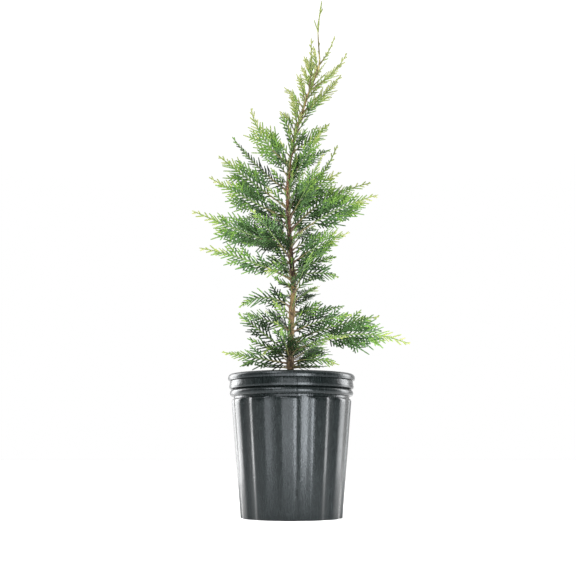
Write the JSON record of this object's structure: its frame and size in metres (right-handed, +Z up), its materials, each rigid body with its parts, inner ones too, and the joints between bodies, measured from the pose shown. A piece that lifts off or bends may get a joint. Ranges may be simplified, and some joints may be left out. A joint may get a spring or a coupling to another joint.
{
  "type": "potted leyland cypress",
  "caption": "Young leyland cypress: a slender leaning trunk with feathery flat sprays of foliage, in a ribbed black nursery pot.",
  "frame": {"origin": "middle of the pot's flat underside, which stands on the ground", "axes": "+Z up along the pot's axis; the pictured side faces -Y, with +X to its right"},
  "size_m": [0.2823, 0.2249, 0.7095],
  "materials": {
    "pot": "semi-gloss black moulded plastic with a fine grain",
    "growing_medium": "dark reddish-brown bark and peat mix with pale mineral grains",
    "bark": "thin brown bark, paler and tan towards the leader",
    "young_bark": "smooth tan young bark",
    "foliage_bright": "yellow-green scale leaves of young growth",
    "foliage_green": "mid-green scale leaves",
    "foliage_deep": "deep blue-green scale leaves of the inner crown"
  },
  "bodies": {
    "root": {"bough_back_5": "young_bark", "bough_left_broad": "young_bark", "bough_left_drooper": "young_bark", "bough_left_long": "young_bark", "bough_left_low": "young_bark", "bough_left_second": "young_bark", "bough_right_fan": "young_bark", "bough_right_long": "young_bark", "bough_right_low_long": "young_bark", "bough_right_low_upper": "young_bark", "foliage_back_1": "foliage_green", "foliage_back_2": "foliage_deep", "foliage_back_3": "foliage_deep", "foliage_back_4": "foliage_green", "foliage_back_5": "foliage_deep", "foliage_back_6": "foliage_deep", "foliage_back_7": "foliage_green", "foliage_back_8": "foliage_deep", "foliage_fork_right": "foliage_bright", "foliage_front_foot": "foliage_green", "foliage_front_high": "foliage_bright", "foliage_front_left": "foliage_green", "foliage_front_low": "foliage_bright", "foliage_front_middle": "foliage_green", "foliage_front_upper": "foliage_bright", "foliage_left_arch": "foliage_green", "foliage_left_behind": "foliage_deep", "foliage_left_broad": "foliage_green", "foliage_left_climber": "foliage_deep", "foliage_left_drooper": "foliage_green", "foliage_left_foot": "foliage_green", "foliage_left_foot_front": "foliage_bright", "foliage_left_inner": "foliage_deep", "foliage_left_long": "foliage_green", "foliage_left_low": "foliage_green", "foliage_left_second": "foliage_green", "foliage_left_thin": "foliage_deep", "foliage_right_behind": "foliage_deep", "foliage_right_fan": "foliage_green", "foliage_right_foot": "foliage_bright", "foliage_right_long": "foliage_green", "foliage_right_low_long": "foliage_bright", "foliage_right_low_upper": "foliage_green", "foliage_right_middle": "foliage_green", "foliage_right_sparse": "foliage_deep", "foliage_right_thin": "foliage_deep", "foliage_right_upper": "foliage_green", "foliage_right_upper_dark": "foliage_deep", "foliage_right_whip": "foliage_green", "foliage_top_left_lower": "foliage_bright", "foliage_top_left_upper": "foliage_bright", "foliage_top_right_long": "foliage_bright", "foliage_top_right_second": "foliage_bright", "foliage_top_right_third": "foliage_green", "foliage_top_upright": "foliage_bright", "foliage_upper_left_fan": "foliage_bright", "growing_medium": "growing_medium", "pot": "pot", "trunk": "bark"}
  },
  "joints": []
}
